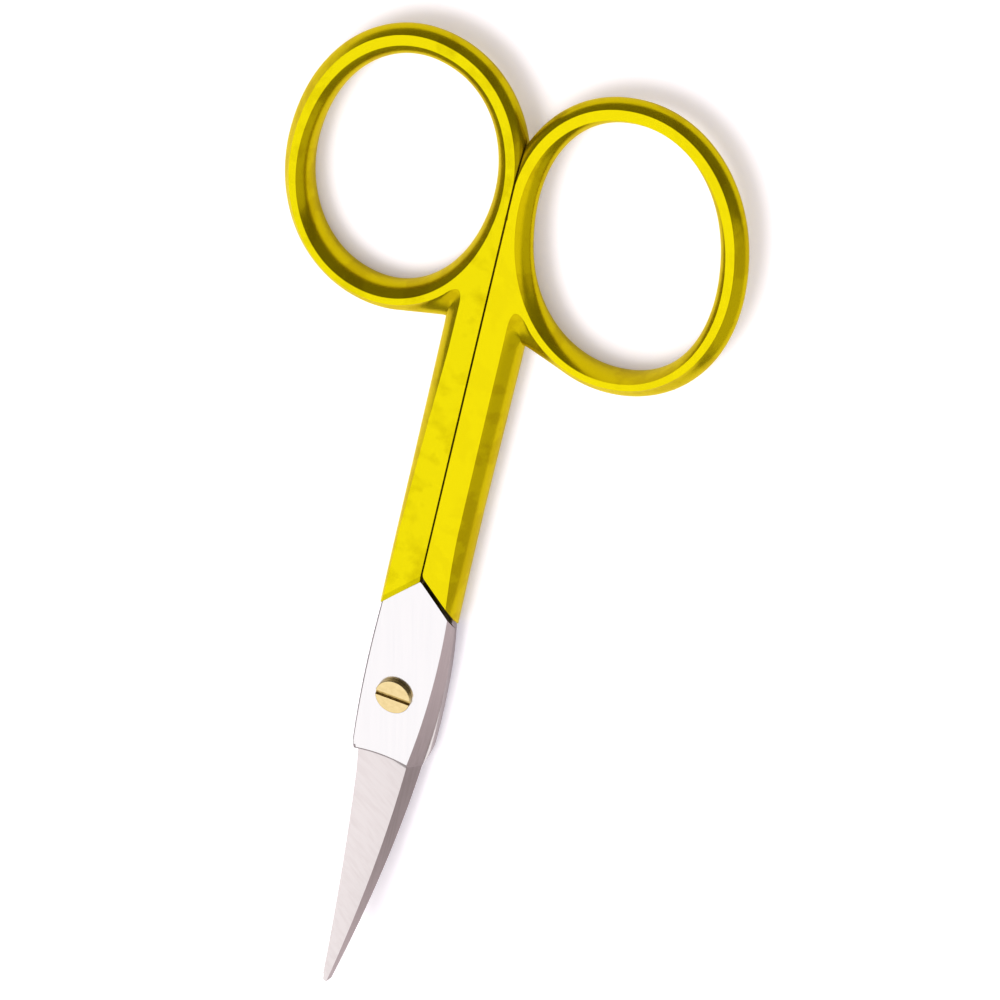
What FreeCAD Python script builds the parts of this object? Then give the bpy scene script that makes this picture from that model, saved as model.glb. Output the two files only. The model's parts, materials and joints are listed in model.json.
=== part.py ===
"""Small curved embroidery scissors: two forged halves that cross at one slotted screw.

Millimetres, +Z up, lying closed on the table plane z = 0.  X runs across the pair, +Y runs
towards the finger rings and the tips point along -Y and curl upwards.  The sketches are drawn
about the pivot, at x = 0, y = 0; every body is then shifted along Y by the same amount, so that
the origin of the finished part is the middle of its footprint.

Each half is one forging.  It is given as two solids that meet face to face at the line where
its coating ends: a coated handle (ring and shank) and a bare steel blade (joint leaf and blade).
The upper half has the left ring and the lower half, which holds the screw, has the right one.
"""
import FreeCAD, Part
import os
import re
import Sketcher
from FreeCAD import Vector

SIZES = [
    # handles: rings and shanks
    ("handle_thickness", 3.4, "ring and shank, table side to top"),
    ("ring_center_x", 9.0, "ring centre from the seam"),
    ("ring_center_y", 46.6, "ring centre from the pivot"),
    ("ring_tilt", 10.4, "lean of each ring's long axis towards the seam, degrees"),
    ("finger_half_width", 7.25, "finger hole, half its short axis"),
    ("finger_half_length", 9.5, "finger hole, half its long axis"),
    ("finger_end_radius", 6.0, "finger hole, radius of its two ends"),
    ("ring_wall", 2.5, "width of the ring's section, hole to outside"),
    ("ring_edge_round", 0.95, "rounding of the ring's four edges"),
    ("shank_half_width", 3.3, "seam to the outer side of a shank"),
    ("shank_edge_round", 0.9, "rounding of the shank's two outer edges"),
    ("seam_gap", 0.12, "gap between the closed shanks"),
    # where the shanks end and the joint begins
    ("apex_y", 12.8, "top of the V where the seam ends, from the pivot"),
    ("shoulder_slope", 1.05, "fall of each shoulder per unit of width"),
    ("shoulder_gap", 0.22, "clearance between a shoulder and the other half's leaf"),
    ("joint_step", 0.35, "handle's face down to the leaf's outer face"),
    # joint leaves: the flat stretch where the two halves lie on each other
    ("leaf_gap", 0.06, "clearance between the two halves"),
    ("heel_y", 7.0, "pivot to the end of the leaves, towards the tips"),
    ("heel_corner", 0.5, "corner taken off the heel on the cutting side"),
    ("spine_draft", 0.6, "lean of the spine side, inner face to outer face"),
    ("upper_edge_side", 2.85, "upper leaf, seam to its cutting side"),
    ("lower_edge_side", 3.3, "lower leaf, seam to its cutting side"),
    ("upper_spine_side", 3.6, "upper leaf, seam to its spine side at the shoulder"),
    ("lower_spine_side", 3.25, "lower leaf, seam to its spine side at the shoulder"),
    ("upper_spine_radius", 50.0, "bow of the upper leaf's spine side"),
    ("lower_spine_radius", 120.0, "bow of the lower leaf's spine side"),
    # blades
    ("blade_reach", 30.7, "pivot to the tips"),
    ("curl_start", 6.5, "distance from the pivot where the blades begin to curl up"),
    ("curl_radius", 85.0, "radius of the curl"),
    ("spine_thickness_heel", 1.1, "blade thickness at the spine, heel"),
    ("spine_thickness_tip", 0.5, "blade thickness at the spine, tip"),
    ("edge_thickness", 0.2, "land left at the cutting edge"),
    ("upper_edge_heel", 2.7, "upper blade, seam to the cutting edge at the heel"),
    ("lower_edge_heel", 2.7, "lower blade, seam to the cutting edge at the heel"),
    ("upper_spine_heel", 2.55, "upper blade, seam to the spine's outer corner at the heel"),
    ("lower_spine_heel", 2.0, "lower blade, seam to the spine's outer corner at the heel"),
    ("spine_bow", 0.3, "how far the spine bows out between heel and tip"),
    ("tip_lean", 0.5, "offset of both tips from the seam"),
    ("tip_half_width", 0.3, "half the width of each blunt tip"),
    # pivot screw
    ("screw_diameter", 2.0, "screw below its head"),
    ("screw_running_fit", 0.03, "radial clearance in the upper leaf"),
    ("screw_thread_fit", 0.01, "radial clearance in the lower leaf"),
    ("head_diameter", 3.3, "screw head"),
    ("head_height", 0.62, "screw head, seat to top"),
    ("head_seat_gap", 0.03, "clearance below the head"),
    ("head_edge_round", 0.12, "rounding of the head's rim"),
    ("slot_width", 0.36, "driver slot"),
    ("slot_depth", 0.35, "driver slot"),
    ("slot_angle", 3.1, "slot, turned from X, degrees"),
]
SIZE_NAME = re.compile(r"\b(" + "|".join(alias for alias, _, _ in SIZES) + r")\b")

# Derived places, written with the names above.
JOINT_Z = "handle_thickness / 2"
END_SETBACK = "(finger_half_length - finger_end_radius)"
SIDE_RADIUS = (f"((pow({END_SETBACK}; 2) + pow(finger_half_width; 2) - pow(finger_end_radius; 2))"
               " / (2 * (finger_half_width - finger_end_radius)))")
RING_TOP_Y = f"(ring_center_y + {END_SETBACK} * cos(ring_tilt) + finger_end_radius + ring_wall)"
MIDDLE_SHIFT = f"(blade_reach - {RING_TOP_Y}) / 2"
SHOULDER_DROP = "shoulder_gap * sqrt(1 + pow(shoulder_slope; 2))"
BLADE_STATIONS = 5
BLADE_ROOT = 1.0          # how far the blade's first section lies inside the leaf
TRIM = 1.5                # extra stock on the inner side of a blade, cut off at the parting face
CLEAR = 5.0               # how far cutting shapes run past what they cut

doc = FreeCAD.newDocument("curved_scissors")
sheet = doc.addObject("Spreadsheet::Sheet", "sheet")
for row, (alias, value, meaning) in enumerate(SIZES, start=1):
    sheet.set(f"A{row}", meaning)
    sheet.set(f"B{row}", str(value))
    sheet.setAlias(f"B{row}", alias)
doc.recompute()


def on_sheet(text):
    """An expression written with bare size names, turned into one that reads the sheet."""
    return SIZE_NAME.sub(r"sheet.\1", str(text))


def value_of(text):
    """The present value of an expression, used to draw a sketch near its solution."""
    return float(sheet.evalExpression(on_sheet(text)))


def bind(feature, prop, text):
    feature.setExpression(prop, on_sheet(text))


def new_body(name):
    body = doc.addObject("PartDesign::Body", name)
    bind(body, ".Placement.Base.y", MIDDLE_SHIFT)
    return body


def new_sketch(body, name, plane, offset="0"):
    """A sketch on one of the body's own origin planes, moved along the plane's normal."""
    support = next(f for f in body.Origin.OriginFeatures if f.Role == plane)
    sketch = body.newObject("Sketcher::SketchObject", name)
    sketch.AttachmentSupport = (support, [""])
    sketch.MapMode = "FlatFace"
    bind(sketch, ".AttachmentOffset.Base.z", offset)
    doc.recompute()
    return sketch


def constrain(sketch, kind, *place, value):
    """Add one dimension to a sketch and bind it to its expression."""
    index = sketch.addConstraint(Sketcher.Constraint(kind, *place, value_of(value)))
    bind(sketch, f"Constraints[{index}]", value)


def pin(sketch, edge, end, point):
    """Fix one end of an edge at a point given as two expressions."""
    constrain(sketch, "DistanceX", -1, 1, edge, end, value=point[0])
    constrain(sketch, "DistanceY", -1, 1, edge, end, value=point[1])


def draw_polygon(sketch, points, bows=None):
    """A closed outline through the points; bows maps an edge's number to an arc's radius.

    A bowed edge bulges to the right of its direction of travel.
    """
    bows = bows or {}
    places = [Vector(value_of(x), value_of(y), 0) for x, y in points]
    count = len(points)
    for i, start in enumerate(places):
        end = places[(i + 1) % count]
        if i in bows:
            chord = end - start
            right = Vector(chord.y, -chord.x, 0).normalize()
            radius = value_of(bows[i])
            sagitta = radius - (radius ** 2 - (chord.Length / 2) ** 2) ** 0.5
            middle = (start + end) * 0.5 + right * sagitta
            sketch.addGeometry(Part.Arc(start, middle, end), False)
            constrain(sketch, "Radius", i, value=bows[i])
        else:
            sketch.addGeometry(Part.LineSegment(start, end), False)
    for i in range(count):
        sketch.addConstraint(Sketcher.Constraint("Coincident", i, 2, (i + 1) % count, 1))
        pin(sketch, i, 1, points[i])


def new_ring_sketch(body, name, side):
    """A sketch on the table plane about a ring's centre, turned with the ring's long axis."""
    sketch = new_sketch(body, name, "XY_Plane")
    bind(sketch, ".AttachmentOffset.Base.x", f"{side} * ring_center_x")
    bind(sketch, ".AttachmentOffset.Base.y", "ring_center_y")
    bind(sketch, ".AttachmentOffset.Rotation.Angle", f"{side} * ring_tilt * 1 deg")
    return sketch


def draw_oval(sketch, offset):
    """The finger hole's outline, moved outwards by an offset.

    Four arcs that meet smoothly: two of the end radius, centred on the long axis, and two of the
    side radius, centred on the short axis.  A corner lies where the line through both centres
    meets the outline.
    """
    side = f"({SIDE_RADIUS} + {offset})"
    centres_apart = f"({SIDE_RADIUS} - finger_end_radius)"
    x = f"(({SIDE_RADIUS} - finger_half_width) * ({side} / {centres_apart} - 1))"
    y = f"({END_SETBACK} * {side} / {centres_apart})"
    end = f"finger_end_radius + {offset}"
    corners = [(x, f"-{y}"), (x, y), (f"-{x}", y), (f"-{x}", f"-{y}")]
    draw_polygon(sketch, corners, {0: side, 1: end, 2: side, 3: end})


def pad(body, name, sketch, length, reverse=False):
    feature = body.newObject("PartDesign::Pad", name)
    feature.Profile = sketch
    feature.Reversed = reverse
    bind(feature, "Length", length)
    doc.recompute()
    return feature


def pocket(body, name, sketch, reverse=True):
    """Cut a sketch on the XY plane right through, upwards; the body must lose volume."""
    before = body.Shape.Volume
    feature = body.newObject("PartDesign::Pocket", name)
    feature.Profile = sketch
    feature.Reversed = reverse
    bind(feature, "Length", "handle_thickness + 10")
    doc.recompute()
    if not body.Shape.Volume < before:
        raise RuntimeError(f"{name} cuts nothing")
    return feature


def dress(body, kind, name, base, prop, value, wanted):
    """Fillet or chamfer those edges of a feature that the test picks."""
    edges = [f"Edge{i}" for i, edge in enumerate(base.Shape.Edges, start=1) if wanted(edge)]
    if not edges:
        raise RuntimeError(f"{name} finds no edge")
    feature = body.newObject(f"PartDesign::{kind}", name)
    feature.Base = (base, edges)
    bind(feature, prop, value)
    doc.recompute()
    return feature


def shoulder(side, x, drop="0"):
    """A point on the sloping line where a shank ends, lowered by a clearance."""
    return f"{side} * ({x})", f"apex_y - shoulder_slope * ({x}) - {drop}"


def make_ring(half, side):
    """Finger ring: an oval band with rounded edges, flattened where it meets the other ring."""
    body = new_body(f"{half}_ring_body")
    outside = new_ring_sketch(body, f"{half}_ring_outside", side)
    draw_oval(outside, "ring_wall")
    pad(body, f"{half}_ring_blank", outside, "handle_thickness")
    inside = new_ring_sketch(body, f"{half}_finger_hole", side)
    draw_oval(inside, "0")
    band = pocket(body, f"{half}_ring_band", inside)
    dress(body, "Fillet", f"{half}_ring_rounding", band, "Radius", "ring_edge_round",
          lambda edge: isinstance(edge.Curve, Part.Circle))
    flat = new_sketch(body, f"{half}_ring_flat", "XY_Plane")
    seam, away = f"{side} * seam_gap / 2", f"-{side} * ring_center_x"
    low, high = "apex_y", f"{RING_TOP_Y} + {CLEAR}"
    draw_polygon(flat, [(seam, low), (seam, high), (away, high), (away, low)])
    pocket(body, f"{half}_ring_seam", flat)
    return body


def make_shank(half, side, outer_z):
    """Shank: a bar with two rounded outer edges, from the shoulder into the ring's wall."""
    body = new_body(f"{half}_shank_body")
    shank_end = "(apex_y - shoulder_slope * shank_half_width)"
    section = new_sketch(body, f"{half}_shank_section", "XZ_Plane", f"-{shank_end}")
    near, far = f"{side} * seam_gap / 2", f"{side} * shank_half_width"
    draw_polygon(section, [(near, "0"), (far, "0"), (far, "handle_thickness"),
                           (near, "handle_thickness")])
    bar = pad(body, f"{half}_shank_bar", section, f"ring_center_y - {shank_end}", reverse=True)
    outside = abs(value_of("shank_half_width"))
    dress(body, "Fillet", f"{half}_shank_rounding", bar, "Radius", "shank_edge_round",
          lambda edge: edge.Length > outside * 2
          and abs(abs(edge.CenterOfMass.x) - outside) < 1e-6)
    inside = new_ring_sketch(body, f"{half}_ring_middle", side)
    draw_oval(inside, "ring_wall / 2")
    pocket(body, f"{half}_shank_top", inside)
    corner = new_sketch(body, f"{half}_shoulder_line", "XY_Plane")
    past = f"shank_half_width + {CLEAR}"
    draw_polygon(corner, [shoulder(side, "0"), shoulder(side, past),
                          ("0", shoulder(side, past)[1])])
    cut = pocket(body, f"{half}_shoulder", corner)
    level = value_of(outer_z)

    def at_the_joint(edge):
        middle = edge.CenterOfMass
        return (abs(middle.z - level) < 1e-6 and middle.y < value_of("apex_y")
                and isinstance(edge.Curve, Part.Line)
                and abs(edge.Curve.Direction.x) > 0.1 and abs(edge.Curve.Direction.y) > 0.1)

    dress(body, "Chamfer", f"{half}_joint_bevel", cut, "Size", "joint_step - 0.02",
          at_the_joint)
    return body


def make_handle(half, side, outer_z):
    """Ring and shank joined into one coated handle."""
    handle = doc.addObject("Part::MultiFuse", f"{half}_handle")
    handle.Shapes = [make_ring(half, side), make_shank(half, side, outer_z)]
    handle.Refine = True
    handle.Label = f"{half}_handle"
    doc.recompute()
    return handle


def leaf_outline(half, spine, inset):
    """The joint leaf in plan: shoulder, cutting side, heel, bowed spine side, other shoulder.

    spine is the side of the spine, 1 or -1; inset draws the spine side in, for its draft.
    """
    edge = f"{half}_edge_side"
    spine_heel = f"({half}_spine_heel + spine_draft - {inset})"
    spine_top = f"({half}_spine_side - {inset})"
    apex_x = f"({SHOULDER_DROP}) / (2 * shoulder_slope)"
    points = [
        (f"-{spine} * {apex_x}", f"apex_y - ({SHOULDER_DROP}) / 2"),
        (f"-{spine} * {edge}", f"apex_y - shoulder_slope * {edge}"),
        (f"-{spine} * {edge}", "heel_corner - heel_y"),
        (f"-{spine} * ({edge} - heel_corner)", "-heel_y"),
        (f"{spine} * {spine_heel}", "-heel_y"),
        shoulder(spine, spine_top, SHOULDER_DROP),
    ]
    bowed_edge = 4
    if spine < 0:                 # keep the outline's direction of travel the same
        points = [points[0]] + points[:0:-1]
        bowed_edge = 1
    return points, {bowed_edge: f"{half}_spine_radius"}


def blade_section(half, spine, up, y):
    """One cross-section of the blade at a place y between the heel and the tip.

    From the cutting edge to the spine along the parting face, up the leaning spine, and back
    down the ground face to the narrow land at the edge.  Extra stock lies past the parting face.
    """
    share = f"((({y}) - heel_y) / (blade_reach - heel_y))"
    stay = f"(1 - {share})"
    curl = f"(pow(({y}) - curl_start; 2) / (2 * curl_radius))"
    parting = f"({JOINT_Z} + {curl})"
    edge_x = f"(-{spine} * {half}_edge_heel * {stay} + (tip_lean - {spine} * tip_half_width) * {share})"
    outer_x = (f"({spine} * ({half}_spine_heel * {stay} + spine_bow * 4 * {share} * {stay})"
               f" + (tip_lean + {spine} * tip_half_width) * {share})")
    inner_x = f"({outer_x} + {spine} * spine_draft * {stay})"
    thick = f"(spine_thickness_heel * {stay} + spine_thickness_tip * {share})"
    stock = f"({parting} - {up} * {TRIM})"
    return [(edge_x, stock), (inner_x, stock), (inner_x, parting),
            (outer_x, f"{parting} + {up} * {thick}"),
            (edge_x, f"{parting} + {up} * (leaf_gap / 2 + edge_thickness)")]


def loft(body, name, sections):
    feature = body.newObject("PartDesign::AdditiveLoft", name)
    feature.Profile = sections[0]
    feature.Sections = sections[1:]
    doc.recompute()
    return feature


def cut_parting_face(body, half, up):
    """Turn away the inner side: flat in the joint, then an arc that curls upwards.

    A face of revolution about the pivot lets the two curved blades pass each other.
    """
    flat_z = f"({JOINT_Z} + {up} * leaf_gap / 2)"
    rim = f"(blade_reach + {CLEAR})"
    rim_z = f"({flat_z} + curl_radius - sqrt(pow(curl_radius; 2) - pow({rim} - curl_start; 2)))"
    past_z = f"({JOINT_Z} - {CLEAR})" if up > 0 else f"({rim_z} + {CLEAR})"
    profile = new_sketch(body, f"{half}_parting_profile", "XZ_Plane")
    points = [("0", past_z), ("0", flat_z), ("curl_start", flat_z), (rim, rim_z), (rim, past_z)]
    draw_polygon(profile, points, {2: "curl_radius"})
    before = body.Shape.Volume
    groove = body.newObject("PartDesign::Groove", f"{half}_parting_face")
    groove.Profile = profile
    groove.ReferenceAxis = (profile, ["V_Axis"])
    groove.Angle = 360
    doc.recompute()
    if not body.Shape.Volume < before:
        raise RuntimeError(f"{half}: the parting face cuts nothing")


def bore(body, half, fit):
    """The round hole for the pivot screw."""
    sketch = new_sketch(body, f"{half}_bore_circle", "XY_Plane")
    radius = f"screw_diameter / 2 + {fit}"
    sketch.addGeometry(Part.Circle(Vector(0, 0, 0), Vector(0, 0, 1), value_of(radius)), False)
    sketch.addConstraint(Sketcher.Constraint("Coincident", 0, 3, -1, 1))
    constrain(sketch, "Radius", 0, value=radius)
    pocket(body, f"{half}_bore", sketch)


def make_blade(half, spine, up, fit):
    """Joint leaf and blade of one half, in bare steel."""
    body = new_body(f"{half}_blade")
    body.Label = f"{half}_blade"
    outer_z = f"({JOINT_Z} + {up} * ({JOINT_Z} - joint_step))"
    leaf_faces = []
    for name, z, inset in (("inner", JOINT_Z, "0"), ("outer", outer_z, "spine_draft")):
        face = new_sketch(body, f"{half}_leaf_{name}", "XY_Plane", z)
        draw_polygon(face, *leaf_outline(half, spine, inset))
        leaf_faces.append(face)
    loft(body, f"{half}_leaf", leaf_faces)
    stations = []
    for i in range(BLADE_STATIONS):
        share = i / (BLADE_STATIONS - 1)
        y = f"((heel_y - {BLADE_ROOT}) * {1 - share} + blade_reach * {share})"
        station = new_sketch(body, f"{half}_blade_section_{i}", "XZ_Plane", y)
        draw_polygon(station, blade_section(half, spine, up, y))
        stations.append(station)
    loft(body, f"{half}_blade_loft", stations)
    cut_parting_face(body, half, up)
    bore(body, half, fit)
    return body


def make_screw():
    """Slotted pivot screw: turned head and shank, from the head's top to the lower leaf's face."""
    body = new_body("pivot_screw")
    body.Label = "pivot_screw"
    seat = "(handle_thickness - joint_step + head_seat_gap)"
    top = f"({seat} + head_height)"
    profile = new_sketch(body, "screw_profile", "XZ_Plane")
    draw_polygon(profile, [("0", "joint_step"), ("screw_diameter / 2", "joint_step"),
                           ("screw_diameter / 2", seat), ("head_diameter / 2", seat),
                           ("head_diameter / 2", top), ("0", top)])
    turned = body.newObject("PartDesign::Revolution", "screw_turning")
    turned.Profile = profile
    turned.ReferenceAxis = (profile, ["V_Axis"])
    turned.Angle = 360
    doc.recompute()
    level = value_of(top)
    dress(body, "Fillet", "head_rim", turned, "Radius", "head_edge_round",
          lambda edge: abs(edge.CenterOfMass.z - level) < 1e-6 and edge.Closed)
    slot = new_sketch(body, "slot_outline", "XY_Plane", f"{top} - slot_depth")
    bind(slot, ".AttachmentOffset.Rotation.Angle", "slot_angle * 1 deg")
    x, y = "(head_diameter / 2 + 1)", "(slot_width / 2)"
    draw_polygon(slot, [(f"-{x}", f"-{y}"), (x, f"-{y}"), (x, y), (f"-{x}", y)])
    pocket(body, "driver_slot", slot)
    return body


UPPER_FACE = "handle_thickness"
LOWER_FACE = "0"
pieces = [
    make_handle("upper", -1, UPPER_FACE),
    make_blade("upper", 1, 1, "screw_running_fit"),
    make_handle("lower", 1, LOWER_FACE),
    make_blade("lower", -1, -1, "screw_thread_fit"),
    make_screw(),
]
doc.recompute()

for thing in doc.Objects:
    if {"Invalid", "Error"} & set(thing.State):
        raise RuntimeError(f"{thing.Name} failed: {thing.State}")
os.makedirs("parts", exist_ok=True)
for piece in pieces:
    shape = piece.Shape
    if shape.isNull() or not shape.isValid() or len(shape.Solids) != 1:
        raise RuntimeError(f"{piece.Label} is not one valid solid")
    shape.exportStep(f"parts/{piece.Label}.step")
    box = shape.BoundBox
    print(f"{piece.Label}: {shape.Volume:.1f} mm3, x {box.XMin:.2f}..{box.XMax:.2f},"
          f" y {box.YMin:.2f}..{box.YMax:.2f}, z {box.ZMin:.2f}..{box.ZMax:.2f}")
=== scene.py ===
# %% [markdown]
# # Small curved scissors with yellow finger rings
#
# The real object is two forged steel halves that cross at one slotted screw.  The finger rings
# and shanks carry a lemon-yellow coating; the joint leaves are polished, and the blades are
# ground and curl upwards.  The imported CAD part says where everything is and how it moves, so we
# load it first.  Each visible piece is then built about the pivot, in the part's own frame.

import json
import math

import bmesh
import bpy
import numpy as np
from mathutils import Matrix, Vector
from mathutils.geometry import tessellate_polygon


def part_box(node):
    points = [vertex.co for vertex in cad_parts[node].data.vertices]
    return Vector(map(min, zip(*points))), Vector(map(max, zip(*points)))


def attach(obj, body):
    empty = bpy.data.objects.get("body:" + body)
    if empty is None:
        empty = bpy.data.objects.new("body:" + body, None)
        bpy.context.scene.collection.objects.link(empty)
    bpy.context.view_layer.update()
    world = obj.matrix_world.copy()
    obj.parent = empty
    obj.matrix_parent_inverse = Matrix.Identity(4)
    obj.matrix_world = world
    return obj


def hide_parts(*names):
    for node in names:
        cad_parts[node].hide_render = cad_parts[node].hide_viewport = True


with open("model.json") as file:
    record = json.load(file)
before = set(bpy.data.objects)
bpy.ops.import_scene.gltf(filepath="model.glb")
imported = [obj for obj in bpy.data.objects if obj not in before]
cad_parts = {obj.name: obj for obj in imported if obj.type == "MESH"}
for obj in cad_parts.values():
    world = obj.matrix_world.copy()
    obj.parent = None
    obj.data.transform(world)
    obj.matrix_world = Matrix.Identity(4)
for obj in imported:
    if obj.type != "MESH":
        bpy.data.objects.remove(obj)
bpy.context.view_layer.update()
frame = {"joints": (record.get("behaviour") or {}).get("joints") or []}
MM = 0.001
PIVOT_Y = frame["joints"][0]["pos_m"][1]
print("pivot at y =", round(PIVOT_Y / MM, 3), "mm")

# %% [markdown]
# ## Camera
#
# The pair lies flat and is seen from above and from the ring end, a little from the right.  A
# camera could be aimed with a Track To constraint, but that always keeps the world's Z upright
# in the view.  Here a line on the table stands upright instead, so we work out the camera's own
# three axes from where it stands, what it looks at, and that line.

# %% Camera
CAMERA_AT = Vector((0.0397, 0.1026, 0.1488))
LOOKS_AT = Vector((0.0049, 0.0089, 0.0034))
UPRIGHT_LINE = math.radians(12.95)      # turned from +Y towards -X, on the table
FOCAL_LENGTH = 79.2

back = (CAMERA_AT - LOOKS_AT).normalized()
upright = Vector((-math.sin(UPRIGHT_LINE), math.cos(UPRIGHT_LINE), 0.0))
right = upright.cross(back).normalized()
camera = bpy.data.objects.new("camera", bpy.data.cameras.new("camera"))
camera.data.lens = FOCAL_LENGTH
camera.data.clip_start, camera.data.clip_end = 0.01, 20.0
camera.matrix_world = Matrix.Translation(CAMERA_AT) @ Matrix(
    (right, back.cross(right), back)).transposed().to_4x4()
bpy.context.scene.collection.objects.link(camera)
bpy.context.scene.camera = camera
print("camera stands", round((CAMERA_AT - LOOKS_AT).length, 4), "m away")

# %% [markdown]
# ## Table and world
#
# Small tools are usually shown on a white sweep.  It could be a curved backdrop, but seen from
# above one large flat table does the same.  The table glows a little, as a sweep lit from below
# does, and that keeps the shadows pale.  The world is dim, and that is what turns the slopes of
# the metal dark.  The Standard view keeps the whites clean, where a filmic view would grey them.

# %% Table and world
TABLE_SIZE = 4.0
TABLE_GLOW = 0.28
WORLD_STRENGTH = 0.18


def new_material(name):
    """A new material, with its Principled shader and its node tree."""
    material = bpy.data.materials.new(name)
    material.use_nodes = True
    return material, material.node_tree.nodes["Principled BSDF"], material.node_tree


bpy.context.scene.view_settings.view_transform = "Standard"
world = bpy.data.worlds.new("studio")
world.use_nodes = True
world.node_tree.nodes["Background"].inputs["Color"].default_value = (1.0, 0.94, 0.94, 1)
world.node_tree.nodes["Background"].inputs["Strength"].default_value = WORLD_STRENGTH
bpy.context.scene.world = world

table = bpy.data.objects.new("table", bpy.data.meshes.new("table"))
half = TABLE_SIZE / 2
table.data.from_pydata([(-half, -half, 0), (half, -half, 0), (half, half, 0), (-half, half, 0)],
                       [], [(0, 1, 2, 3)])
bpy.context.scene.collection.objects.link(table)
paint, shader, _ = new_material("white_table")
shader.inputs["Base Color"].default_value = (0.93, 0.915, 0.92, 1)
shader.inputs["Roughness"].default_value = 0.9
shader.inputs["Specular IOR Level"].default_value = 0.1
shader.inputs["Emission Color"].default_value = (0.93, 0.88, 1.0, 1)
shader.inputs["Emission Strength"].default_value = TABLE_GLOW
table.data.materials.append(paint)
print("table:", TABLE_SIZE, "m wide, glow", TABLE_GLOW)

# %% [markdown]
# ## Lamps
#
# Metal looks like what it mirrors, so each lamp has its own task.  The high key box throws the
# short shadow; it is hidden from reflections, as a polarising sheet hides a lamp in a studio, so
# that it leaves no hot spot.  The very broad fill box overhead is what the flats and the polished steel
# mirror.  The side card shows only in reflections, so the walls that face it come out olive and
# the shadows stay as they are.  One lamp could do it all, but then every finish would change
# with every change to the shadow.

# %% Soft boxes
LAMP_COLOUR = (1.0, 0.97, 0.98)


def soft_box(name, direction, distance, size, power, in_mirrors=True, on_table=True):
    """A round area lamp that stands in a direction and faces the middle of the table."""
    lamp = bpy.data.objects.new(name, bpy.data.lights.new(name, "AREA"))
    lamp.data.shape = "DISK"
    lamp.data.size = size
    lamp.data.energy = power
    lamp.data.color = LAMP_COLOUR
    lamp.visible_glossy = in_mirrors
    lamp.visible_diffuse = on_table
    away = Vector(direction).normalized()
    lamp.location = away * distance
    lamp.rotation_mode = "QUATERNION"
    lamp.rotation_quaternion = away.to_track_quat("Z", "Y")
    bpy.context.scene.collection.objects.link(lamp)


soft_box("key_box", (-0.27, -0.28, 0.92), 0.9, 0.55, 3.9, in_mirrors=False)
soft_box("fill_box", (-0.15, -0.35, 0.93), 1.0, 2.2, 14.7)
soft_box("side_card", (0.87, -0.32, 0.32), 1.5, 1.6, 4.0, on_table=False)
print("lamps:", [light.name for light in bpy.data.lights])

# %% [markdown]
# ## Helpers for meshes
#
# Every new piece is made of sheets: grids of points worked out with numpy as whole arrays.  A
# sheet's quads follow from its number of rows and columns, and every sheet runs round its piece
# until it meets itself.  Where sheets meet, or a sheet's end shrinks to a point, some points
# coincide, and merging them closes the skin.

# %% Sheets, joined into one closed skin
def to_frame(points):
    """Millimetres about the pivot into metres in the part's frame: scaled, then moved along Y."""
    placed = np.asarray(points, float) * MM
    placed[..., 1] += PIVOT_Y
    return placed


def grid_quads(rows, columns):
    """The corner numbers of a sheet's quads; its last column joins on to its first."""
    i = np.arange(rows - 1)[:, None]
    j = np.arange(columns)[None, :]
    ahead = (j + 1) % columns
    corners = [i * columns + j, i * columns + ahead, (i + 1) * columns + ahead,
               (i + 1) * columns + j]
    return np.stack([np.broadcast_to(c, (rows - 1, j.size)) for c in corners], -1).reshape(-1, 4)


def weld(work):
    """Merge points that coincide and turn all faces the same way."""
    bmesh.ops.remove_doubles(work, verts=work.verts, dist=2e-6)
    bmesh.ops.dissolve_degenerate(work, edges=work.edges, dist=1e-7)
    bmesh.ops.recalc_face_normals(work, faces=work.faces)


def skin(sheets, faces=()):
    """A bmesh from sheets that close on themselves, and loose flat faces, each a list of points."""
    work = bmesh.new()
    for points in sheets:
        rows, columns = points.shape[:2]
        part = bpy.data.meshes.new("part")
        part.from_pydata(to_frame(points).reshape(-1, 3).tolist(), [],
                         grid_quads(rows, columns).tolist())
        work.from_mesh(part)
        bpy.data.meshes.remove(part)
    for points in faces:
        work.faces.new([work.verts.new(p) for p in to_frame(points).tolist()])
    weld(work)
    return work


print("a sheet of 3 rows and 4 columns has", len(grid_quads(3, 4)), "quads")

# %% [markdown]
# ## From skin to finished piece
#
# A ground edge on a real tool is never quite sharp, and the bright line along it is what makes
# it look like metal.  The edge could be modelled by hand in every sheet.  A Bevel modifier does
# it once for all of them, and only where two faces meet at more than a small angle.  The same
# function rides the piece on its body and hides the CAD solid it stands for.

# %% Finished pieces
CREASE_ANGLE = 28           # degrees: faces that meet at more than this meet in an edge
LEVEL = 0.99999             # a face whose normal rises more than this lies flat


def face_values(mesh, what):
    """One vector for each face, such as its centre or its normal, as rows of an array."""
    values = np.empty(3 * len(mesh.polygons), np.float32)
    mesh.polygons.foreach_get(what, values)
    return values.reshape(-1, 3)


def ease_edges(piece, width, edge_finish):
    """Round the piece's edges to a width in millimetres; edge_finish -1 keeps its own finish."""
    bevel = piece.modifiers.new("eased_edges", "BEVEL")
    bevel.width, bevel.segments = width * MM, 2
    bevel.limit_method, bevel.angle_limit = "ANGLE", math.radians(CREASE_ANGLE)
    bevel.harden_normals = True
    bevel.use_clamp_overlap = True
    bevel.material = edge_finish


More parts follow.
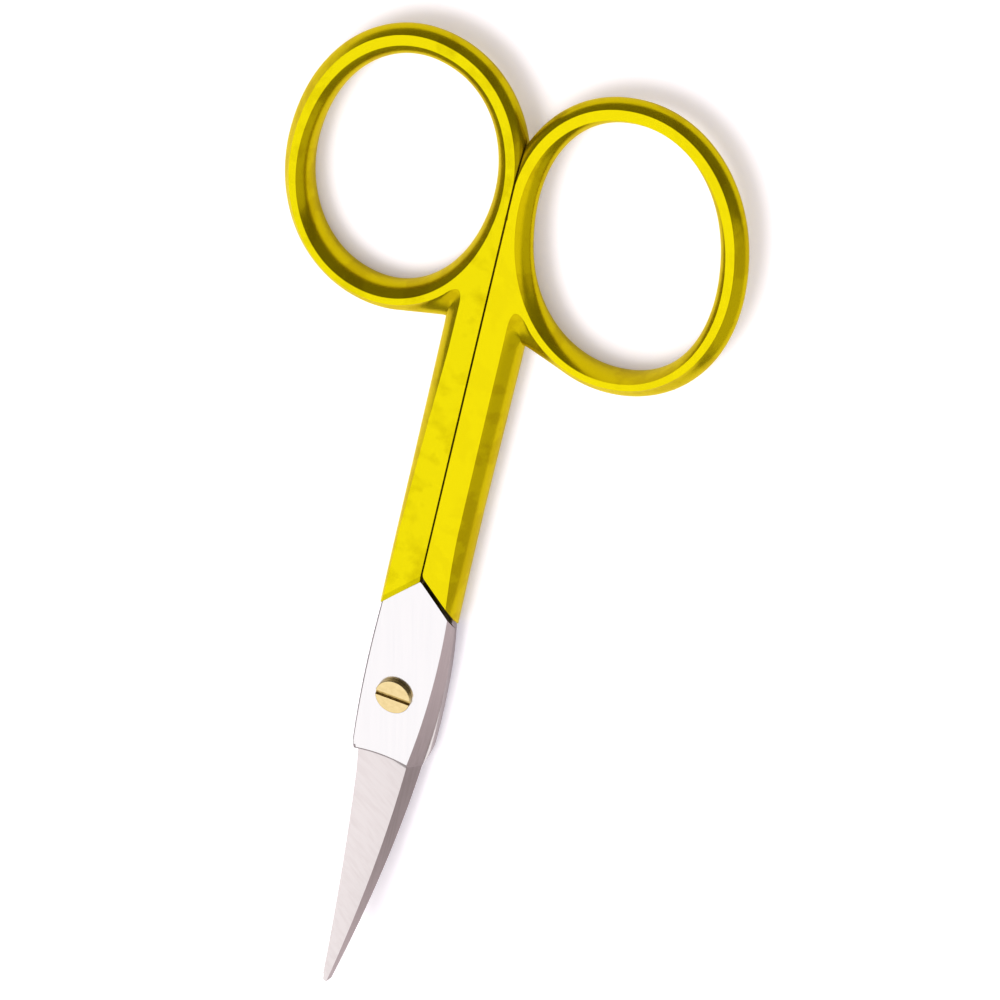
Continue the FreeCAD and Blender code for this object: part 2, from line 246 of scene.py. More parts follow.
def finished(work, name, body, node, finishes, which, crease=CREASE_ANGLE, ease=0.05,
             edge_finish=-1):
    """Turn a bmesh into a piece: smooth but for its level faces and for its eased creases.

    which says a face's finish from its centre, in millimetres about the pivot, and its normal.
    """
    weld(work)
    if work.calc_volume(signed=True) < 0:
        bmesh.ops.reverse_faces(work, faces=work.faces)
    open_edges = sum(not edge.is_manifold for edge in work.edges)
    mesh = bpy.data.meshes.new(name)
    work.to_mesh(mesh)
    work.free()
    mesh.shade_smooth()
    mesh.set_sharp_from_angle(angle=math.radians(crease))
    normals = face_values(mesh, "normal")
    mesh.polygons.foreach_set("use_smooth", np.abs(normals[:, 2]) < LEVEL)
    piece = bpy.data.objects.new(name, mesh)
    bpy.context.scene.collection.objects.link(piece)
    for material in finishes:
        mesh.materials.append(material)
    about_pivot = (face_values(mesh, "center") - [0, PIVOT_Y, 0]) / MM
    mesh.polygons.foreach_set("material_index", which(about_pivot, normals))
    if ease:
        ease_edges(piece, ease, edge_finish)
    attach(piece, body)
    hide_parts(node)
    print(f"{name}: {len(mesh.polygons)} faces, {open_edges} open edges")


print("edges are eased where faces meet at more than", CREASE_ANGLE, "degrees")

# %% [markdown]
# ## Long outlines
#
# A shank's or a blade's side is nearly straight, with a slight bow.  It could be a Bezier curve
# that is sampled afterwards.  A few stations with a parabola between each two say the same in
# numbers that can be read: where, how far out, and how much it bows on the way.

# %% Bowed lines
def bowed(stations, bows):
    """x as a function of y: from station to station a straight line plus a parabola.

    A station is (y, x), the highest y first, and each bow is how far the parabola stands out
    halfway to the next station.
    """
    y, x = np.array(stations[::-1], float).T
    bow = np.array(bows[::-1], float)

    def value(at):
        at = np.asarray(at, float)
        k = np.clip(np.searchsorted(y, at) - 1, 0, len(y) - 2)
        t = (at - y[k]) / (y[k + 1] - y[k])
        return x[k] + t * (x[k + 1] - x[k]) + 4 * bow[k] * t * (1 - t)
    return value


print("halfway up a bow of 0.2:", bowed([(1, 0), (0, 0)], [0.2])(0.5))

# %% [markdown]
# ## The finger rings, seen from above
#
# Each handle is a finger ring that runs into a shank.  Both have a flat top and bottom, and
# walls that swell out between them.  The ring could be a bent torus joined to a bar with a
# Boolean, but that leaves a raw corner at the fork.  Instead two outlines are drawn in plan, the
# rim of the flat and the wider waist at mid height, and the wall is an arc carried round both.
# Lengths are in millimetres about the pivot, for the half on the +X side; the other half is its
# mirror image.

# %% Ring outline
HANDLE_TOP = round(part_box("lower_handle")[1][2] / MM, 3)
WAIST_Z = HANDLE_TOP / 2
RING_CENTRE = np.array([9.02, 46.6])
RING_TILT = math.radians(10.4)
RIM_HALF = np.array([8.18, 10.43])      # the top's inner rim: half its width and length
RIM_POWER = 2.087                       # a touch squarer than an ellipse
BAND_WIDTH, BAND_GROWS = 0.66, 0.13     # the ring's flat top, and how much wider its far end is
OUTER_SWELL = 0.86                      # how far it swells outwards
WAIST_GROWS = 0.1                       # how much less the far end swells than the sides


def oval(angle, offset, grows=0.0):
    """The ring's rim moved outwards: a superellipse, plus its unit normal times the offset.

    Where the offset grows, it is wider at the ring's far end by that much, and narrower at the
    near end.
    """
    offset = np.asarray(offset + grows * np.sin(angle))
    c, s = np.cos(angle), np.sin(angle)
    shape = np.stack([np.sign(c) * np.abs(c) ** (2 / RIM_POWER),
                      np.sign(s) * np.abs(s) ** (2 / RIM_POWER)], -1)
    normal = np.sign(shape) * np.abs(shape) ** (RIM_POWER - 1) / RIM_HALF
    normal /= np.linalg.norm(normal, axis=-1, keepdims=True)
    x, y = (shape * RIM_HALF + normal * offset[..., None]).T
    tilted = [x * math.cos(RING_TILT) - y * math.sin(RING_TILT),
              x * math.sin(RING_TILT) + y * math.cos(RING_TILT)]
    return RING_CENTRE + np.stack(tilted, -1)


print("handle top at z =", HANDLE_TOP, "mm")
print("ring outside, across and along:", 2 * (RIM_HALF + BAND_WIDTH + OUTER_SWELL))

# %% [markdown]
# ## The fork, where a ring runs into its shank
#
# The flat's rim turns the corner in a soft curve, while the waist comes to a plain corner, and
# the scoop between them gets its shape from that difference.  A sculpted fillet would look
# alike, but here both halves' forks stay exact, and each needs only two numbers.

# %% Fork outlines
CORNER_Y = 36.0                                 # where the fork's waist comes to its corner
TOUCH = math.radians(174)                       # where a ring touches the seam
NEAR_FORK = np.linspace(math.pi, math.pi * 1.5, 2001)   # the quarter of the ring at the fork
RING_POINTS, BEND_POINTS, SIDE_POINTS = 260, 16, 60
STOCK_X, STOCK_Y = -1.3, 5.0                    # the blank runs past the seam and the shoulder


def round_the_corner(arc, side_of, reach):
    """Where ring and side cross, a parabola that begins and ends that far from the corner.

    It comes with the number of the ring's point where it leaves the ring.
    """
    corner = np.argmin(np.abs(arc[:, 0] - side_of(arc[:, 1])))
    away = np.linalg.norm(arc - arc[corner], axis=1)
    leaves = corner + np.argmin(np.abs(away[corner:] - reach))
    end_y = arc[corner, 1] - reach
    end = np.array([side_of(end_y), end_y])
    t = np.linspace(0, 1, BEND_POINTS)[:, None]
    return leaves, (1 - t) ** 2 * arc[leaves] + 2 * t * (1 - t) * arc[corner] + t ** 2 * end


def run_to_a_corner(arc, side_of, reach):
    """The ring's tangent through a corner on the side, then straight down from it.

    It comes with the number of the ring's point where it leaves the ring.
    """
    corner = np.array([side_of(CORNER_Y), CORNER_Y])
    along, across = np.gradient(arc, axis=0), corner - arc
    miss = np.abs(along[:, 0] * across[:, 1] - along[:, 1] * across[:, 0])
    miss = miss / np.linalg.norm(along, axis=1)
    nearest = np.argmin(np.linalg.norm(across, axis=1))
    leaves = nearest + np.argmin(miss[nearest:])
    end = corner - [0, reach]
    t = np.linspace(0, 2, BEND_POINTS)[:, None]
    return leaves, np.where(t < 1, arc[leaves] + t * (corner - arc[leaves]),
                            corner + (t - 1) * (end - corner))


def fork_outline(offset, grows, side_of, reach, turn_corner):
    """An outline of ring and shank: clockwise round the ring, the corner, and down the side."""
    leaves, bend = turn_corner(oval(NEAR_FORK, offset, grows), side_of, reach)
    round_ring = np.linspace(TOUCH, NEAR_FORK[leaves] - 2 * math.pi, RING_POINTS)
    side_y = np.linspace(bend[-1, 1], STOCK_Y, SIDE_POINTS)
    return [oval(round_ring, offset, grows), bend, np.stack([side_of(side_y), side_y], -1)]


print("an outline has", RING_POINTS + BEND_POINTS + SIDE_POINTS, "points before it closes")

# %% [markdown]
# ## Handle walls
#
# The wall between rim and waist is an arc that stands upright at the waist.  With a width w and
# a drop d it spans twice the angle whose tangent is w / d, so a broad wall leaves the flat at a
# gentler slope than a narrow one, up to a limit that keeps the rim crisp.  Below the waist it
# turns under in a quarter ellipse.  The rings are thinner than the shanks and keep the same top,
# so their sections are squeezed upwards.

# %% Walls
WALL_ROWS = 9
WIDEST_SPAN = math.radians(50)
RING_THINS = 1.35                       # how much thinner a ring is than its shank


def wall(rim, waist, foot):
    """Rows of a wall: an arc from the rim out to the waist, then a quarter ellipse to the foot."""
    width = np.linalg.norm(waist - rim, axis=1)
    span = np.minimum(2 * np.arctan(np.maximum(width, 1e-3) / WAIST_Z), WIDEST_SPAN)[None, :]
    angle = span * np.linspace(1, 0, WALL_ROWS)[:, None]
    out = (np.cos(angle) - np.cos(span)) / (1 - np.cos(span))
    rise = WAIST_Z * np.sin(angle) / np.sin(span)
    plan = rim + out[..., None] * (waist - rim)
    upper = np.concatenate([plan, (WAIST_Z + rise)[..., None]], -1)
    turn = np.linspace(0, math.pi / 2, WALL_ROWS)[1:, None] + 0 * width[None, :]
    under = foot + np.cos(turn)[..., None] * (waist - foot)
    lower = np.concatenate([under, (WAIST_Z * (1 - np.sin(turn)))[..., None]], -1)
    return np.concatenate([upper, lower])


def thinned(points, start, full):
    """The section squeezed upwards from its foot, in an S-shaped ramp from start to full."""
    share = np.clip((points[..., 1] - start) / (full - start), 0, 1)
    share = share ** 2 * (3 - 2 * share)
    lift = RING_THINS * share * (1 - points[..., 2] / HANDLE_TOP)
    return points + lift[..., None] * np.array([0, 0, 1.0])


def mirrored(points, side):
    """The same points on side +1, or their mirror image across the seam on side -1."""
    return points * np.array([side, 1.0, 1.0])


print("a ring is", round(HANDLE_TOP - RING_THINS, 2), "mm thick, its shank", HANDLE_TOP, "mm")

# %% [markdown]
# ## A handle blank
#
# A forged handle comes from its die a little too large and is ground to its seam.  The blank
# here does the same: its outline runs past the seam and the shoulder.  Three loops close it, the
# top's rim, the waist and the foot, and three more go round the finger hole.  Each flat fills
# the space between its outer loop and its hole with triangles.

# %% Handle blank
FOOT_IN = 0.4               # how much narrower than the top the underside's flat is
HOLE_FOOT = 0.45            # how far outside the rim the hole's foot lies
HOLE_POINTS = 300
END_POINTS, SEAM_POINTS, CLOSING_POINTS = 9, 84, 4


def line(start, end, count):
    """Points on a straight line, both ends included."""
    return np.array(start) + np.linspace(0, 1, count)[:, None] * (np.array(end) - np.array(start))


def closed_loop(outline, touch_y):
    """The outline closed along the end of the blank, up beyond the seam, and back to the ring."""
    end = line((outline[2][-1, 0], STOCK_Y), (STOCK_X, STOCK_Y), END_POINTS)[1:]
    seam = line((STOCK_X, STOCK_Y), (STOCK_X, touch_y), SEAM_POINTS)[1:]
    closing = line((STOCK_X, touch_y), outline[0][0], CLOSING_POINTS)[1:-1]
    return np.concatenate([outline[0], outline[1][1:], outline[2][1:], end, seam, closing])


def hole_loops(swell, pinch, lean):
    """Rim, waist and foot of the finger hole.

    The waist swells into the hole, by pinch more across than along, and by lean more at the
    seam than on the far side.
    """
    turn = np.linspace(0, 2 * math.pi, HOLE_POINTS, endpoint=False)
    into_hole = swell + pinch * np.cos(2 * turn) - lean * np.cos(turn)
    return oval(turn, 0), oval(turn, -into_hole), oval(turn, HOLE_FOOT)


def flat(border, hole, z):
    """The level triangles between a border and the hole in it."""
    loops = [np.concatenate([p, np.full((len(p), 1), z)], -1) for p in (border, hole)]
    triangles = tessellate_polygon([[Vector(p) for p in loop] for loop in loops])
    return list(np.concatenate(loops)[np.array(triangles)])


def handle_blank(side, rim_side, waist_side, rim_reach, waist_reach, hole, thins):
    """Ring and shank with their walls and flats, before the seam and shoulder are ground."""
    def foot_side(y):
        return rim_side(y) - FOOT_IN

    rim = fork_outline(BAND_WIDTH, BAND_GROWS, rim_side, rim_reach, round_the_corner)
    waist = fork_outline(BAND_WIDTH + OUTER_SWELL, -WAIST_GROWS, waist_side, waist_reach,
                         run_to_a_corner)
    foot = fork_outline(BAND_WIDTH - FOOT_IN, BAND_GROWS, foot_side, rim_reach, round_the_corner)
    outer = [closed_loop(outline, rim[0][0, 1]) for outline in (rim, waist, foot)]
    inner = hole_loops(*hole)
    flats = flat(outer[0], inner[0], HANDLE_TOP) + flat(outer[2], inner[2], 0.0)

    def shaped(points):
        return mirrored(thinned(points, *thins), side)
    return skin([shaped(wall(*outer)), shaped(wall(*inner))], [shaped(corners) for corners in flats])


print("a blank starts at y =", STOCK_Y, "mm")

# %% [markdown]
# ## Grinding
#
# A handle is ground along the seam and across for the shoulder that frames the leaf, and the
# upper one gets a shallow bevel there.  A Boolean with a box would do this too, but a plane cut
# keeps the mesh clean and is exact.  Where the halves slide past, the nose is rounded
# by a few cuts, each turned a little further.

# %% Grinding
SEAM_HALF_GAP = 0.08
UPWARDS = np.array([0, 0, 1.0])
NOSE_CUTS, NOSE_SPREAD = 7, 0.8         # cuts round the nose, over this share of its turn


def grind(work, point, normal):
    """Take off all that lies on the normal's side of a plane, and close the cut."""
    cut = bmesh.ops.bisect_plane(
        work, geom=work.verts[:] + work.edges[:] + work.faces[:], dist=1e-8,
        plane_co=to_frame(point).tolist(), plane_no=tuple(normal), clear_outer=True)
    rim = [g for g in cut["geom_cut"] if isinstance(g, bmesh.types.BMEdge)]
    bmesh.ops.holes_fill(work, edges=rim, sides=0)


def across_shoulder(side, fall):
    """The way off the shoulder, level and square to its line, which falls away from the seam."""
    slope = math.atan(fall)
    return np.array([-side * math.sin(slope), -math.cos(slope), 0.0])


def leaning(level_way, lean):
    """A level direction turned upwards by an angle."""
    return level_way * math.cos(lean) + UPWARDS * math.sin(lean)


def grind_seam_and_shoulder(work, side, apex_y, fall, lean=0.0):
    """Cut along the seam, then across, from a point on the seam's line and out at a slope."""
    grind(work, (side * SEAM_HALF_GAP, 0, 0), (-side, 0, 0))
    grind(work, (0, apex_y, HANDLE_TOP), leaning(across_shoulder(side, fall), lean))


def bevel_shoulder(work, side, apex_y, fall, drop, tilt):
    """Cut a bevel along the shoulder, starting that far down and tilted that much from level."""
    off_shoulder = across_shoulder(side, fall)
    grind(work, (0, apex_y, HANDLE_TOP - drop), leaning(off_shoulder, math.pi / 2 - tilt))


def round_nose(work, side, apex_y, fall, lean, radius):
    """Round the corner between seam and shoulder: cuts that touch one circle, side by side."""
    off_shoulder, off_seam = across_shoulder(side, fall), np.array([-side, 0, 0.0])
    corner = np.array([side * SEAM_HALF_GAP, apex_y - fall * SEAM_HALF_GAP, HANDLE_TOP])
    half_turn = math.acos(float(off_shoulder @ off_seam)) / 2
    middle = (off_shoulder + off_seam) / np.linalg.norm(off_shoulder + off_seam)
    centre = corner - middle * radius / math.cos(half_turn)
    for share in np.linspace(-NOSE_SPREAD, NOSE_SPREAD, NOSE_CUTS):
        angle = share * half_turn
        way = middle * math.cos(angle) + np.cross(UPWARDS, middle) * math.sin(angle)
        grind(work, centre + way * radius, leaning(way, lean))


print("the handles stand", 2 * SEAM_HALF_GAP, "mm apart at the seam")

# %% [markdown]
# ## The coating
#
# Such handles are plated and then coated in a clear lemon lacquer, so they shine as coloured
# metal does: the flats mirror the lamps, and the walls are given a darker coating as painted
# shade.  A metallic paint could be built from a diffuse and a glossy shader mixed by hand, but one
# Principled shader with most of its metallic weight does the same and exports whole.  Two
# noises break it up: broad blotches, where fingers have dulled the upper half's flat, and a
# fine grain in its roughness.  The edge tint stays yellow, so nothing turns white at a slant.

# %% Noise, ramps and bumps
def noise(tree, scale, detail, stretch=(1, 1, 1), turn=(0, 0, 0)):
    """Noise on the object's own coordinates, drawn out by stretch along axes turned by turn."""
    coords = tree.nodes.new("ShaderNodeTexCoord")
    mapping = tree.nodes.new("ShaderNodeMapping")
    mapping.vector_type = "TEXTURE"
    mapping.inputs["Scale"].default_value = stretch
    mapping.inputs["Rotation"].default_value = turn
    texture = tree.nodes.new("ShaderNodeTexNoise")
    texture.inputs["Scale"].default_value = scale
    texture.inputs["Detail"].default_value = detail
    tree.links.new(coords.outputs["Object"], mapping.inputs["Vector"])
    tree.links.new(mapping.outputs["Vector"], texture.inputs["Vector"])
    return texture.outputs["Fac"]


def colour_ramp(tree, shader, source, dark, light, start, full):
    """Base colour from dark to light, as the source rises from start to full."""
    node = tree.nodes.new("ShaderNodeValToRGB")
    for element, place, colour in zip(node.color_ramp.elements, (start, full), (dark, light)):
        element.position = place
        element.color = (*colour, 1)
    tree.links.new(source, node.inputs["Fac"])
    tree.links.new(node.outputs["Color"], shader.inputs["Base Color"])


def roughness_range(tree, shader, source, low, high):
    """Roughness from low to high, as the source rises from 0.3 to 0.7, where noise mostly is."""
    node = tree.nodes.new("ShaderNodeMapRange")
    values = {"From Min": 0.3, "From Max": 0.7, "To Min": low, "To Max": high}
    for socket, value in values.items():
        node.inputs[socket].default_value = value
    tree.links.new(source, node.inputs["Value"])
    tree.links.new(node.outputs["Result"], shader.inputs["Roughness"])


def bump(tree, shader, heights):
    """Chain bump nodes, each (height socket, strength, distance in metres), onto a shader."""
    previous = None
    for height, strength, distance in heights:
        node = tree.nodes.new("ShaderNodeBump")
        node.inputs["Strength"].default_value = strength
        node.inputs["Distance"].default_value = distance
        tree.links.new(height, node.inputs["Height"])
        if previous:
            tree.links.new(previous, node.inputs["Normal"])
        previous = node.outputs["Normal"]
    tree.links.new(previous, shader.inputs["Normal"])


print("node helpers:", [helper.__name__ for helper in (noise, colour_ramp, roughness_range, bump)])

# %% [markdown]
# The flats and the walls share one recipe with other colours; the walls' darker colours are
# painted shade.  Which of the two a face gets follows from how level it lies.  The small bevel
# above the leaf takes the flats' colours.

# %% Coating
BLOTCH_SCALE, GRAIN_SCALE = 420, 9000


def coating(name, lemon, shaded, mottle):
    """Lemon lacquer over plate, shaded where the blotch noise falls by mottle below its middle."""
    material, shader, tree = new_material(name)
    blotches = noise(tree, BLOTCH_SCALE, 4)
    grain = noise(tree, GRAIN_SCALE, 2)
    colour_ramp(tree, shader, blotches, shaded, lemon, 0.5 - mottle, 0.5)
    roughness_range(tree, shader, grain, 0.21, 0.25)
    shader.inputs["Metallic"].default_value = 0.85
    shader.inputs["Specular Tint"].default_value = (1.0, 0.9, 0.05, 1)
    shader.inputs["Specular IOR Level"].default_value = 0.4
    bump(tree, shader, [(blotches, 0.12, 0.00003), (grain, 0.05, 0.000004)])
    return material


upper_coating = coating("yellow_coating_upper", (0.64, 0.555, 0.002), (0.52, 0.44, 0.001), 0.19)
lower_coating = coating("yellow_coating_lower", (0.66, 0.565, 0.002), (0.64, 0.545, 0.002), 0.06)
# The walls' coating is darker than the flats': painted shade on every wall.
shaded_wall_coating = coating("yellow_coating_walls_painted_shade", (0.50, 0.395, 0.001), (0.44, 0.335, 0.001), 0.06)

FLAT_RISE, BEVEL_RISE = 0.9995, 0.9     # how far up a flat's and a bevel's normal points
SHOULDER_END = 13.2                     # the shoulder's bevel lies nearer to the pivot than this


def handle_finish(centre, normal):
    """0 on the flats and 1 on the walls, whose darker coating is painted shade."""
    rise = np.abs(normal[:, 2])
    bevelled = (centre[:, 1] < SHOULDER_END) & (rise > BEVEL_RISE)
    return ((rise < FLAT_RISE) & ~bevelled).astype(np.int32)


print("coatings:", upper_coating.name, lower_coating.name, shaded_wall_coating.name)

# %% [markdown]
# ## The upper handle
#
# This is the handle on the -X side.  Its flat widens towards the leaf, the wall of its finger
# hole is nearly even, and a shallow bevel runs along its shoulder.  It could be modelled on its
# own, but both handles come from the same kind of blank, so only a few values differ.

# %% Upper handle
HANDLE_CREASE, HANDLE_EASE = 50, 0.1

upper_shoulder = {"side": -1, "apex_y": 12.3, "fall": 1.19}
upper_blank = handle_blank(
    side=-1, rim_side=bowed([(40, 2.05), (34, 2.12), (16, 2.78), (5, 2.87)], [0, 0.03, 0]),
    waist_side=bowed([(40, 3.35), (5, 3.35)], [0]), rim_reach=2.4, waist_reach=0.8,
    hole=(0.88, 0.0, 0.1), thins=(38, 59))
grind_seam_and_shoulder(upper_blank, **upper_shoulder)
bevel_shoulder(upper_blank, **upper_shoulder, drop=0.18, tilt=math.radians(21))
finished(upper_blank, "upper_handle_coated", "upper_half", "upper_handle",
         [upper_coating, shaded_wall_coating], handle_finish, HANDLE_CREASE, HANDLE_EASE)

# %% [markdown]
# ## The lower handle
#
# This is the handle on the +X side.  Its shoulder is a ramp that runs down under the upper leaf,
# and its nose is rounded, so that the leaf slides past it as the scissors open.  The wall of its
# finger hole is broad at the seam, narrower on the far side and narrowest at both ends.  A
# mirrored copy of the upper handle would be quicker, but it would lose these differences.

# %% Lower handle
lower_shoulder = {"side": 1, "apex_y": 13.0, "fall": 0.86, "lean": math.radians(30)}
lower_blank = handle_blank(
    side=1, rim_side=bowed([(40, 2.05), (18, 2.2), (14, 2.4), (5, 3.2)], [0, -0.02, 0]),
    waist_side=bowed([(40, 3.36), (20, 3.4), (5, 3.62)], [0, 0]), rim_reach=2.8, waist_reach=0.8,
    hole=(0.62, 0.26, 0.27), thins=(34, 44))
grind_seam_and_shoulder(lower_blank, **lower_shoulder)
round_nose(lower_blank, **lower_shoulder, radius=0.8)
finished(lower_blank, "lower_handle_coated", "lower_half", "lower_handle",
         [lower_coating, shaded_wall_coating], handle_finish, HANDLE_CREASE, HANDLE_EASE)

# %% [markdown]
# ## Steel
#
# Four finishes of one steel: the leaf is polished until it mirrors the fill box, the blade's
# outer face shows slanting marks from the grinding wheel, the upright sides get a darker, warmer
# colour as painted shade, and the fine arris round the leaf is darkest, a painted shade line.
# The marks could be an image of scratches; a noise drawn out thirty times along one direction
# gives the same streaks at any size and needs no image.

# %% Steel
STREAK = (1, 30, 1)


def steel(name, light, dark, smooth, rough, marks_turn, marks_scale, marks_depth):
    """Bare steel whose colour, roughness and height all follow the same drawn-out marks."""
    material, shader, tree = new_material(name)
    shader.inputs["Metallic"].default_value = 1.0
    marks = noise(tree, marks_scale, 3, STREAK, (0, 0, marks_turn))
    colour_ramp(tree, shader, marks, dark, light, 0.3, 0.6)
    roughness_range(tree, shader, marks, smooth, rough)
    bump(tree, shader, [(marks, 0.3, marks_depth)])
    return material


STEELS = [
    steel("polished_leaf_steel", (0.70, 0.70, 0.705), (0.68, 0.682, 0.69),
          0.14, 0.18, 0.2, 3000, 0.000001),
    steel("ground_blade_steel", (0.64, 0.605, 0.60), (0.59, 0.55, 0.545),
          0.28, 0.34, 1.15, 2200, 0.000004),
    # The spine and arris steels are darker as painted shade: the spine steel on upright sides and eased
    # edges, the arris steel along the leaf's edge and heel.
    steel("spine_steel_painted_shade", (0.36, 0.30, 0.298), (0.31, 0.26, 0.256),
          0.35, 0.45, 0.0, 5000, 0.00001),
    steel("arris_steel_painted_shade", (0.26, 0.235, 0.235), (0.20, 0.18, 0.18),
          0.3, 0.4, 0.0, 5000, 0.000004)]
LEAF, GROUND, SIDE_SHADE, ARRIS_SHADE_LINE = range(4)
print("steels:", [material.name for material in STEELS])

# %% [markdown]
# ## Leaf and blade
#
# Each half's leaf and blade are one forging: a flat joint leaf, a small step at the heel, then a
# tapering blade that curls upwards.  Sculpting or lofting between a few sections could make it,
# but the step and the leaf's chamfer need exact rows, so one closed section is carried from the
# shoulder to the tip.  In it a runs across, from the edge to the spine, and h runs from the
# inner face to the outer one.

# %% Leaf and blade: the section and the rows
LOWER_LEAF_Z = round(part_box("lower_blade")[0][2] / MM, 3)
LEAF_TOP = HANDLE_TOP - LOWER_LEAF_Z    # as far under the top as the lower leaf is off the table
LEAF_GAP = 0.03                         # from the parting to each leaf's inner face
LEAF_LENGTH, LEAF_WIDTH = 16, 6         # about, to place the rows beside the arris
LEAF_START, HEEL_Y = 9.3, -6.9          # about, to read the outlines along the leaf
HEEL_LENGTH = 0.55
TIP_Y = -31.7                           # a millimetre past the CAD's tip, for a finer point
ARRIS = 0.12                            # the leaf's small chamfer, along its edge and its heel
ACROSS_TOP, ACROSS_BOTTOM, UP_SPINE, UP_EDGE = 33, 17, 7, 4

leaf_rows = np.append(np.linspace(0, 1, 40)[:-1], [1 - ARRIS / LEAF_LENGTH, 1])
step_rows = np.linspace(0, 1, 14)[1:] ** 2
blade_rows = np.linspace(0, 1, 90)[1:]
outer_a = np.append(np.linspace(1, ARRIS / LEAF_WIDTH, ACROSS_TOP - 1), 0)[1:]
section_a = np.concatenate([np.linspace(0, 1, ACROSS_BOTTOM), np.ones(UP_SPINE - 1), outer_a,
                            np.zeros(UP_EDGE - 2)])[None, :]
section_h = np.concatenate([np.zeros(ACROSS_BOTTOM), np.linspace(0, 1, UP_SPINE)[1:],
                            np.ones(ACROSS_TOP - 1), np.linspace(1, 0, UP_EDGE)[1:-1]])[None, :]
print("leaf top at z =", round(LEAF_TOP, 3), "mm; a section has", section_a.size, "points")

# %% [markdown]
# Both halves share the parting, which is level round the screw and curls upwards beyond it, and
# the heel, a shallow curve across the end of each leaf.

# %% Leaf and blade: parting and heel
CURL_START, CURL_RADIUS = 6.5, 85.0


def parting(x, y):
    """Height where the halves meet: flat near the pivot, then an arc that curls upwards."""
    reach = np.maximum(np.hypot(x, y) - CURL_START, 0)
    return WAIST_Z + CURL_RADIUS - np.sqrt(CURL_RADIUS ** 2 - reach ** 2)


def heel_line(x):
    """y of the heel: a slanting parabola that falls towards the leaf's two sides."""
    return -6.8 + 0.068 * x - 0.0386 * x ** 2


def shoulder_line(x, h, shoulder):
    """y where the leaf begins: an apex and a fall on each side, undercut on the +X side."""
    fall = np.where(x < 0, shoulder["fall_left"], shoulder["fall_right"])
    undercut = np.where(x > 0, shoulder["undercut"] * (1 - h), 0)
    return shoulder["apex"] - fall * np.abs(x) - undercut


print("the parting at the tip is at z =", round(float(parting(0, TIP_Y)), 2), "mm")

# %% [markdown]
# The blade's outer face falls from the spine to the edge and is ground slightly hollow.  A fall
# that stayed the same on the narrow point would tip it on its side, so below a certain width the
# slope is kept instead.

# %% Leaf and blade: thickness
EDGE_THICK = 0.2
SPINE_AT_HEEL, SPINE_AT_TIP = 1.1, 0.75
HOLLOW = 0.10                           # how deep the outer face is hollowed, at the heel
FULL_FALL_WIDTH = 2.4                   # a narrower blade keeps the slope of its outer face


def blade_thickness(y, a, width):
    """Spine thickness less the fall towards the edge and the hollow, a parabola across."""
    share = np.clip((y - HEEL_Y) / (TIP_Y - HEEL_Y), 0, 1)
    spine = SPINE_AT_HEEL + (SPINE_AT_TIP - SPINE_AT_HEEL) * share
    fall = (spine - EDGE_THICK) * np.minimum(width / FULL_FALL_WIDTH, 1)
    return spine - fall * (1 - a) - HOLLOW * 4 * a * (1 - a) * (1 - share)


print("spine:", SPINE_AT_HEEL, "mm at the heel,", SPINE_AT_TIP, "mm at the tip")

# %% [markdown]
# Now the skin.  Rows in the leaf lie between the shoulder and the heel, rows in the step follow a
# quarter circle down from the leaf's thickness to the blade's, and rows in the blade run on to
# the tip.  up is +1 for the half that lies on top and -1 for the one below.

# %% Leaf and blade: the skin
ARRIS_DROP = 0.8                        # the arris's depth, as a share of its width


def blade_skin(up, edge, spine_top, spine_bottom, shoulder):
    """A bmesh of leaf and blade: the closed section carried from the shoulder to the tip."""
    a, h = section_a, section_h
    blade_start = HEEL_Y - HEEL_LENGTH
    nominal_y = np.concatenate([LEAF_START + leaf_rows * (HEEL_Y - LEAF_START),
                                HEEL_Y - step_rows * HEEL_LENGTH,
                                blade_start + blade_rows * (TIP_Y - blade_start)])[:, None]
    cut = edge(nominal_y)
    spine = spine_bottom(nominal_y) * (1 - h) + spine_top(nominal_y) * h
    x = cut + (spine - cut) * a

    in_leaf = slice(0, len(leaf_rows))
    in_step = slice(len(leaf_rows), len(leaf_rows) + len(step_rows))
    in_blade = slice(len(leaf_rows) + len(step_rows), None)
    start, heel = shoulder_line(x, h, shoulder), heel_line(x * up)
    y = np.empty(x.shape)
    y[in_leaf] = start[in_leaf] + leaf_rows[:, None] * (heel - start)[in_leaf]
    y[in_step] = heel[in_step] - step_rows[:, None] * HEEL_LENGTH
    step_end = heel[in_blade] - HEEL_LENGTH
    y[in_blade] = step_end + blade_rows[:, None] * (TIP_Y - step_end)

    past_heel = np.zeros_like(y)
    past_heel[in_step] = step_rows[:, None]
    past_heel[in_blade] = 1.0
    as_leaf = 1 - np.sqrt(1 - (1 - past_heel) ** 2)
    leaf_thick = LEAF_TOP - WAIST_Z - LEAF_GAP
    thick = blade_thickness(y, a, np.abs(spine - cut))
    thick = thick + (leaf_thick - thick) * as_leaf
    arris = ARRIS * ARRIS_DROP * ((a == 0) & (h == 1)) * as_leaf
    z = parting(x, y) + up * LEAF_GAP + up * (h * thick - arris)
    points = np.stack([x, y, z], -1)
    return skin([points], [points[0], points[-1]])


print("a blade is carried through", len(leaf_rows) + len(step_rows) + len(blade_rows), "rows")

# %% [markdown]
# Last, the finishes: polish on the leaf's outer face, a dark arris along its edge and heel as a
# painted shade line, grinding marks on the broad faces, and the darker spine steel as painted
# shade on everything that stands upright and on the eased edges.

# %% Leaf and blade: finishes, and the finished piece
UPRIGHT_FACE = 0.55         # a normal that points further sideways belongs to an upright face
OUTER_FACE, TILTED_FACE = 0.9, 0.4      # how far outwards a leaf face and its arris point
HEEL_MARGIN = 0.003         # lets the heel's own row of faces count as leaf


